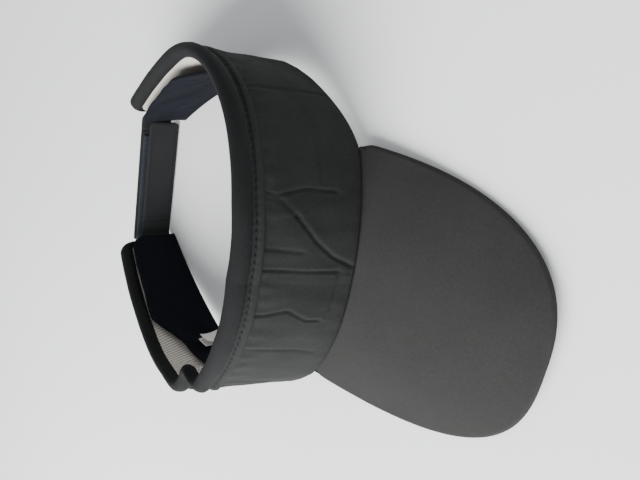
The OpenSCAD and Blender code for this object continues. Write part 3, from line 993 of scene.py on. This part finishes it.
class VISOR_OT_straps(bpy.types.Operator):
    """Make the two straps, their hook and loop patches and the frames of stitching"""

    bl_idname = "visor.straps"
    bl_label = "Straps"

    def execute(self, context):
        kit = Sewing()
        band, st = kit.band, kit.strap
        cloth = knitted("strap cloth", kit.tint.strap)
        thread = twisted("strap thread", kit.tint.thread)
        end_x, end_y, _ = band.level(kit.sizes.side_len, kit.sizes.wall / 2, 0)
        turned = band.heading(kit.sizes.side_len)
        away = Vector((math.cos(turned), math.sin(turned)))
        half = st.thick / 2

        for name, side, face_y, foot, base_x, free_x, wing, root, flap in (
                ("hook", -1, st.hook_y, st.hook_z, st.hook_base_x, st.hook_free_x,
                 "left_wing", "hook_root", "hook_flap"),
                ("loop", 1, st.loop_y, st.loop_z, st.loop_base_x, st.loop_free_x,
                 "right_wing", "loop_root", "loop_flap")):
            corner = Vector((side * end_x, end_y))
            out = Vector((side * away.x, away.y))
            flat_y = face_y + half
            reach = (flat_y - end_y) / away.y
            knee = corner + out * reach
            inside = corner - out * 4 * MM
            bend_in, bend_out = knee - out * 1.2 * MM, Vector((side * base_x, flat_y))
            path = [inside + (bend_in - inside) * k for k in spread(0, 1, 1 / 8)]
            path += [bend_in.lerp(knee, k).lerp(knee.lerp(bend_out, k), k)
                     for k in spread(0, 1, 1 / 8)[1:]]
            path += [Vector((x, flat_y)) for x in spread(side * base_x, side * st.peel_x, MM)[1:]]
            strap_x = spread(side * st.peel_x, -side * free_x, MM)
            fold_at = Vector((side * (base_x + MM), flat_y))

            piece = self.ribbon(band, f"{name}_strap_root", path, half, foot, st.width)
            dress(piece, cloth, "strap_cloth", f"{name}_tab", f"{name}_base")
            band.stand(fold_at.x + side * 1.6 * MM, flat_y - 1.6 * MM, foot)
            band.stand(fold_at.x - side * 1.6 * MM, flat_y + 1.6 * MM, foot)
            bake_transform(piece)
            straight = [Vector((x, flat_y)) for x in strap_x]
            strap = self.ribbon(band, f"{name}_strap_cloth", straight, half, foot, st.width,
                                rounded=2.5 * MM)
            dress(strap, cloth, "strap_cloth", f"{name}_strap")
            self.peel(kit, strap, root, flap, side, flat_y, foot)

            first = side * (st.peel_x - 3 * MM)
            last = -side * (free_x - st.margin)
            if name == "hook":
                patch = self.hooks(kit, first, last)
                dress(patch, towelling("hook tape", kit.tint.hooks, 700, 0.2, 0.02, 0.55),
                      "hook_tape", "hook_patch")
                seam_y = st.hook_y - 0.12 * MM
            else:
                patch = self.pile(kit, first, last)
                dress(patch, towelling("loop pile", kit.tint.pile, 1300, 0.6, 0.05, 0.95),
                      "loop_pile", "loop_patch")
                seam_y = st.loop_y + st.thick + 0.12 * MM
            self.peel(kit, patch, root, flap, side, flat_y, foot)
            frame_seam = self.seam(kit, f"{name}_frame_stitches", first, last, seam_y, foot)
            dress(frame_seam, thread, "thread", f"{name}_stitch")
            self.peel(kit, frame_seam, root, flap, side, flat_y, foot)
        return {"FINISHED"}

    @staticmethod
    def peel(kit, piece, root, flap, side, flat_y, foot):
        band, st = kit.band, kit.strap
        band.stand(side * st.peel_x, flat_y, foot)
        band.stand(side * (st.peel_x - 2.5 * MM), flat_y, foot)
        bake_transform(piece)

    @staticmethod
    def ribbon(band, name, path, half, foot, width, rounded=0.0):
        """A strap on edge along a path in plan, with soft edges and, if asked, round corners."""
        run = [0.0]
        for a, b in zip(path, path[1:]):
            run.append(run[-1] + (b - a).length)
        edge = [math.radians(a) for a in spread(-90, 90, 30)]

        def section(i):
            left = run[-1] - run[i]
            trim = 0.0
            if rounded and left < rounded:
                trim = rounded - math.sqrt(max(0, rounded ** 2 - (rounded - left) ** 2))
            low, high = foot + half + trim, foot + width - half - trim
            rows = [(-half + 0.1 * MM * wobble(run[i] / MM * 0.07, h / MM * 0.1, 1), h)
                    for h in split(high, low, 12)]
            rows += [(half * math.sin(a), low - half * math.cos(a)) for a in edge[1:-1]]
            rows += [(half, h) for h in split(low, high, 12)]
            rows += [(half * math.sin(-a), high + half * math.cos(a)) for a in edge[1:-1]]
            rows.append(rows[0])
            return rows

        def place(i, d, h):
            a, b = path[max(0, i - 1)], path[min(len(path) - 1, i + 1)]
            way = (b - a).normalized()
            normal = Vector((-way.y, way.x)) * (1 if way.x > 0 else -1)
            p = path[i] + normal * d
            return band.stand(p.x, p.y, h)

        return loom(name, list(range(len(path))), section, place)

    @staticmethod
    def pile(kit, first, last):
        """The loop patch: a low cushion of pile with a ragged surface."""
        st, band = kit.strap, kit.band
        low, high = st.loop_z + st.margin, st.loop_z + st.width - st.margin
        top = st.loop_y - st.loop_thick * 0.85
        xs = spread(first, last, 0.5 * MM)

        def section(x):
            shut = clamp01(min(abs(x - first), abs(x - last)) / MM)
            rows = []
            for h in spread(low, high, 0.5 * MM):
                rim = clamp01(min(h - low, high - h) / MM)
                raised = math.sqrt(shut * rim)
                ragged = wobble(x / MM * 2.1, h / MM * 2.1, 0) * 0.22 * MM
                rows.append((st.loop_y + (top + ragged - st.loop_y) * raised, h))
            rows += [(st.loop_y + 0.05 * MM, high), (st.loop_y + 0.05 * MM, low), rows[0]]
            return rows

        return loom("loop_pile_patch", xs, section,
                    lambda x, y, h: band.stand(x, y, h))

    @staticmethod
    def hooks(kit, first, last):
        """The hook patch: a thin tape with rows of small bent hooks."""
        st, band = kit.strap, kit.band
        low, high = st.hook_z + st.margin, st.hook_z + st.width - st.margin
        back = st.hook_y + st.thick
        bm = bmesh.new()
        bmesh.ops.create_cube(bm, size=1)
        bmesh.ops.bevel(bm, geom=list(bm.edges), offset=0.12, segments=2, affect="EDGES",
                        profile=0.5, material=-1)
        bmesh.ops.subdivide_edges(bm, edges=[e for e in bm.edges
                                             if abs(e.verts[0].co.x - e.verts[1].co.x) > 0.5],
                                  cuts=40)
        middle_x, middle_z = (first + last) / 2, (low + high) / 2
        for v in bm.verts:
            x = middle_x + v.co.x * abs(last - first)
            v.co = band.stand(x, back + 0.18 * MM + v.co.y * 0.36 * MM,
                              middle_z + v.co.z * (high - low))
        for x in spread(first, last, st.hook_pitch)[1:-1]:
            for z in spread(low, high, st.hook_pitch)[1:-1]:
                made = bmesh.ops.create_cone(bm, cap_ends=True, segments=5, radius1=0.5,
                                             radius2=0.28, depth=1)["verts"]
                for v in made:
                    lean = 0.22 * MM * (v.co.z + 0.5) ** 2
                    v.co = band.stand(x + v.co.x * 0.34 * MM, back + 0.3 * MM
                                      + (v.co.z + 0.5) * 0.42 * MM,
                                      z + v.co.y * 0.34 * MM + lean)
        uv = bm.loops.layers.uv.new(CLOTH_UV)
        for face in bm.faces:
            for corner in face.loops:
                corner[uv].uv = (corner.vert.co.x, corner.vert.co.z)
        bmesh.ops.recalc_face_normals(bm, faces=bm.faces)
        return finished("hook_tape_patch", bm)

    @staticmethod
    def seam(kit, name, first, last, y, foot):
        """A frame of stitches round a patch."""
        sew, st, band = kit.stitch, kit.strap, kit.band
        inset = st.margin + sew.thread
        low, high = foot + inset, foot + st.width - inset
        pitch = 2.6 * MM
        spots = [(x, z, 0) for z in (low, high) for x in spread(first, last, pitch)[1:-1]]
        spots += [(x, z, 1) for x in (first, last) for z in spread(low, high, pitch)[1:-1]]
        bm = bmesh.new()
        for x, z, upright in spots:
            made = bmesh.ops.create_uvsphere(bm, u_segments=6, v_segments=5, radius=0.5)["verts"]
            for v in made:
                run, side = v.co.z * 1.8 * MM, v.co.x * 0.4 * MM
                px, pz = (x + side, z + run) if upright else (x + run, z + side)
                v.co = band.stand(px, y + v.co.y * 0.4 * MM, pz)
        return smoothed(name, bm)


class VISOR_OT_labels(bpy.types.Operator):
    """Sew two blank ribbon leaves at the foot of the left sweatband"""

    bl_idname = "visor.labels"
    bl_label = "Labels"

    def execute(self, context):
        kit = Sewing()
        band, lab, z = kit.band, kit.label, kit.sizes
        ribbon = satin("label ribbon", kit.tint.label)
        for name, gap, curl, body in LEAVES:
            foot = band.bottom(-lab.at) + lab.foot
            lean = z.sweat_stand / z.sweat_h

            def section(s, gap=gap, curl=curl):
                rows = []
                for k in spread(0, 1, 1 / 16):
                    h = foot + lab.height * k
                    twist = (s + lab.at) / lab.width * 0.8 * MM * k
                    rows.append((z.sweat_in + z.sweat_t + gap * MM + lean * lab.height * k
                                 + curl * MM * k * k + twist, h - 0.6 * MM * k * k))
                return rows

            stations = spread(-lab.at - lab.width / 2, -lab.at + lab.width / 2, 0.8 * MM)

            def leant(s, d, h, foot=foot):
                return band.at(s - LABEL_SHIFT + LABEL_LEAN * (h - foot) / lab.height, d, h)

            leaf = loom("label_leaf_" + name, stations, section, leant, closed=False)
            thicken(leaf, lab.thick, 0)
            dress(leaf, ribbon, "label_cloth", "label_" + name)
            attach(leaf, body)
        return {"FINISHED"}


class VISOR_PT_panel(bpy.types.Panel):
    """Lists the visor's pieces in the sidebar"""

    bl_idname = "VISOR_PT_panel"
    bl_label = "Sun Visor"
    bl_space_type = "VIEW_3D"
    bl_region_type = "UI"
    bl_category = "Visor"

    def draw(self, context):
        for made in OPERATORS:
            self.layout.operator(made.bl_idname)
        for group in GROUPS:
            box = self.layout.box()
            for key in getattr(context.scene, group).bl_rna.properties.keys():
                if key not in ("rna_type", "name"):
                    box.prop(getattr(context.scene, group), key)


OPERATORS = [VISOR_OT_stage, VISOR_OT_band, VISOR_OT_edge, VISOR_OT_sweatband, VISOR_OT_brim,
             VISOR_OT_straps, VISOR_OT_labels]
GROUPS = {"visor_band": VisorBandSizes, "visor_brim": VisorBrimSizes,
          "visor_strap": VisorStrapSizes, "visor_label": VisorLabelSizes,
          "visor_stitch": VisorStitchSizes, "visor_colours": VisorColours,
          "visor_stage": VisorStage}


def register():
    for made in (*GROUPS.values(), *OPERATORS, VISOR_PT_panel):
        bpy.utils.register_class(made)
    for name, group in GROUPS.items():
        setattr(bpy.types.Scene, name, PointerProperty(type=group))


def unregister():
    for name in GROUPS:
        delattr(bpy.types.Scene, name)
    for made in reversed((*GROUPS.values(), *OPERATORS, VISOR_PT_panel)):
        bpy.utils.unregister_class(made)


def main():
    register()
    for made in OPERATORS:
        group, name = made.bl_idname.split(".")
        getattr(getattr(bpy.ops, group), name)()
    bpy.context.view_layer.update()


if __name__ == "__main__":
    main()
